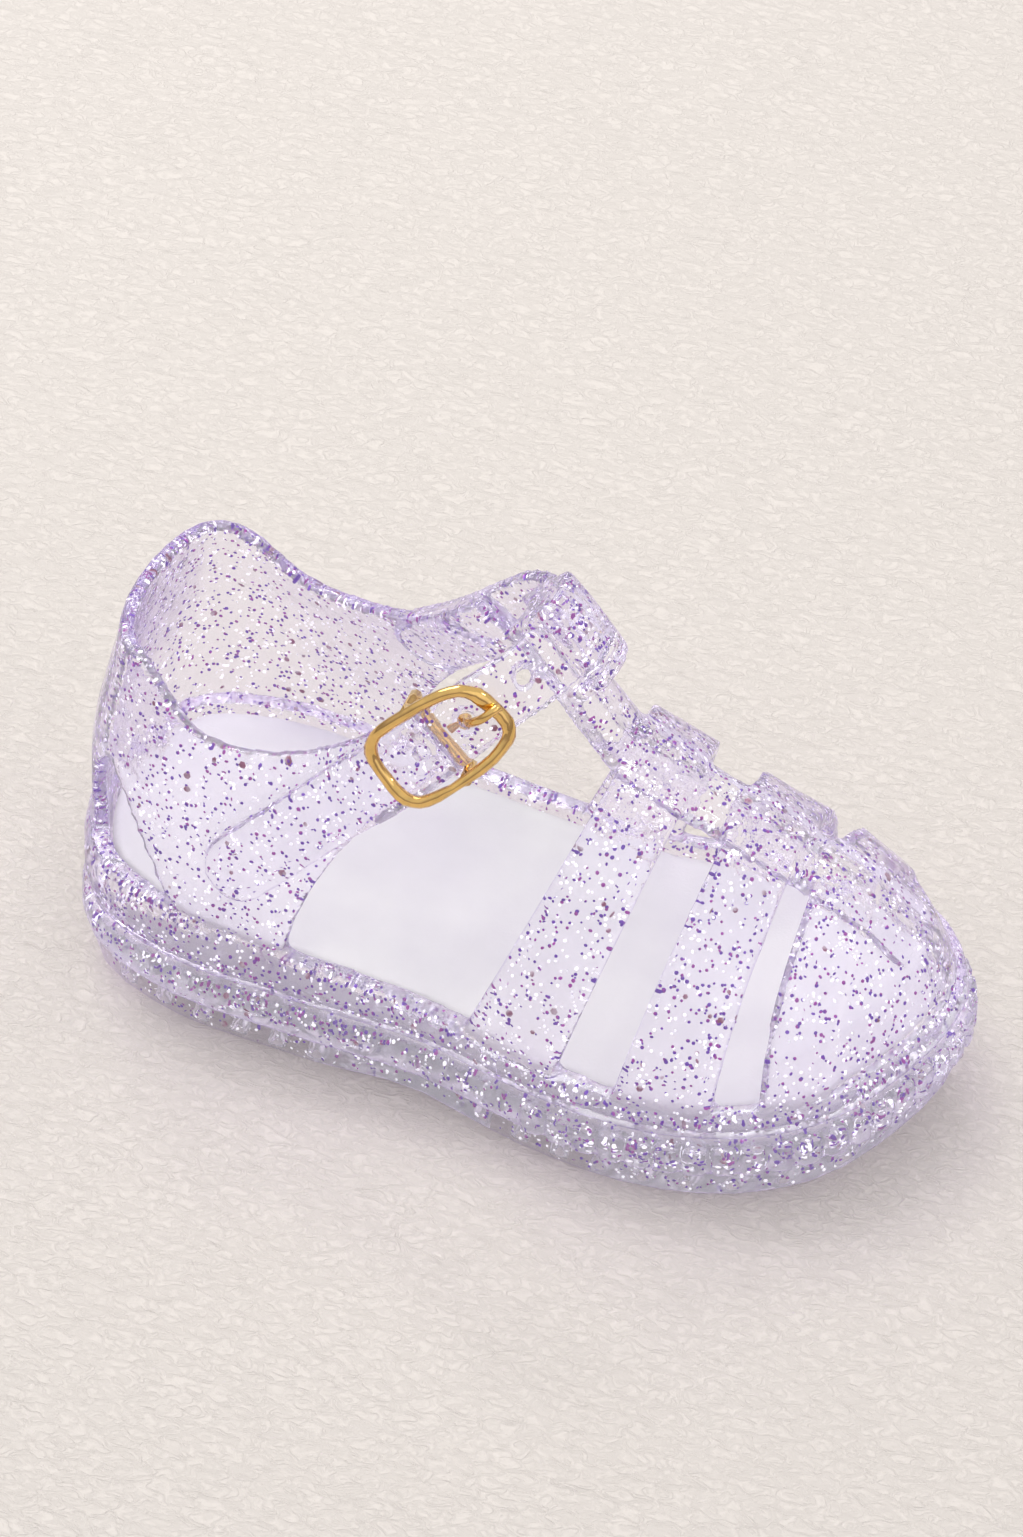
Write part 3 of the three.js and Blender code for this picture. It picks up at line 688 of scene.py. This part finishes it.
def hang_light(name, power, width, place, colour):
    bpy.ops.object.light_add(type="AREA", location=place)
    lamp = bpy.context.object
    lamp.name = name
    lamp.data.shape = "DISK"
    lamp.data.size = width
    lamp.data.energy = power
    lamp.data.color = colour
    lamp.rotation_euler = (-Vector(place)).to_track_quat("-Z", "Y").to_euler()


def light_all_round(strength):
    """A pale room: bright above, dimmer and lilac towards the horizon, warm below it."""
    room = Shading(bpy.data.worlds.new("room"))
    height = room.node("ShaderNodeSeparateXYZ", {}, {0: room.node("ShaderNodeTexCoord")}, out="Z")
    shade = room.ramp(height, *ROOM_STOPS)
    glow = room.node("ShaderNodeBackground", {}, {"Color": shade, "Strength": strength})
    room.node("ShaderNodeOutputWorld", {}, {"Surface": glow})
    bpy.context.scene.world = room.data


def aim_camera():
    """The photograph's angle: turned, raised and centred as measured from it."""
    turn, height = PHOTO_TURN, PHOTO_HEIGHT
    right = Vector((math.cos(turn), math.sin(turn), 0))
    back = Vector((math.sin(turn) * math.cos(height), -math.cos(turn) * math.cos(height), math.sin(height)))
    up = back.cross(right)
    target = PHOTO_PIVOT + up * PHOTO_RISE + right * PHOTO_SIDESTEP
    bpy.ops.object.camera_add(location=target + back * PHOTO_DISTANCE)
    camera = bpy.context.object
    camera.rotation_euler = back.to_track_quat("Z", "Y").to_euler()
    camera.data.sensor_fit = "VERTICAL"
    camera.data.sensor_height = SENSOR_HEIGHT
    camera.data.lens = PHOTO_LENS
    bpy.context.scene.camera = camera


OPERATORS = (
    SANDAL_OT_clear_moulding,
    SANDAL_OT_insole,
    SANDAL_OT_buckle,
    SANDAL_OT_glitter,
    SANDAL_OT_stage,
)


class SANDAL_PT_pieces(bpy.types.Panel):
    """Lists the sandal's pieces and their settings"""

    bl_idname = "SANDAL_PT_pieces"
    bl_label = "Jelly Sandal"
    bl_space_type = "VIEW_3D"
    bl_region_type = "UI"
    bl_category = "Sandal"

    def draw(self, context):
        for operator in OPERATORS:
            self.layout.operator(operator.bl_idname)
        for holder in SETTINGS:
            group = getattr(context.scene, holder)
            box = self.layout.box()
            for key in group.__annotations__:
                box.prop(group, key)


def register():
    for group in SETTINGS.values():
        bpy.utils.register_class(group)
    for holder, group in SETTINGS.items():
        setattr(bpy.types.Scene, holder, bpy.props.PointerProperty(type=group))
    for operator in OPERATORS:
        bpy.utils.register_class(operator)
    bpy.utils.register_class(SANDAL_PT_pieces)


def unregister():
    bpy.utils.unregister_class(SANDAL_PT_pieces)
    for operator in reversed(OPERATORS):
        bpy.utils.unregister_class(operator)
    for holder, group in SETTINGS.items():
        delattr(bpy.types.Scene, holder)
        bpy.utils.unregister_class(group)


def main():
    register()
    for operator in OPERATORS:
        group, name = operator.bl_idname.split(".")
        getattr(getattr(bpy.ops, group), name)()


if __name__ == "__main__":
    main()
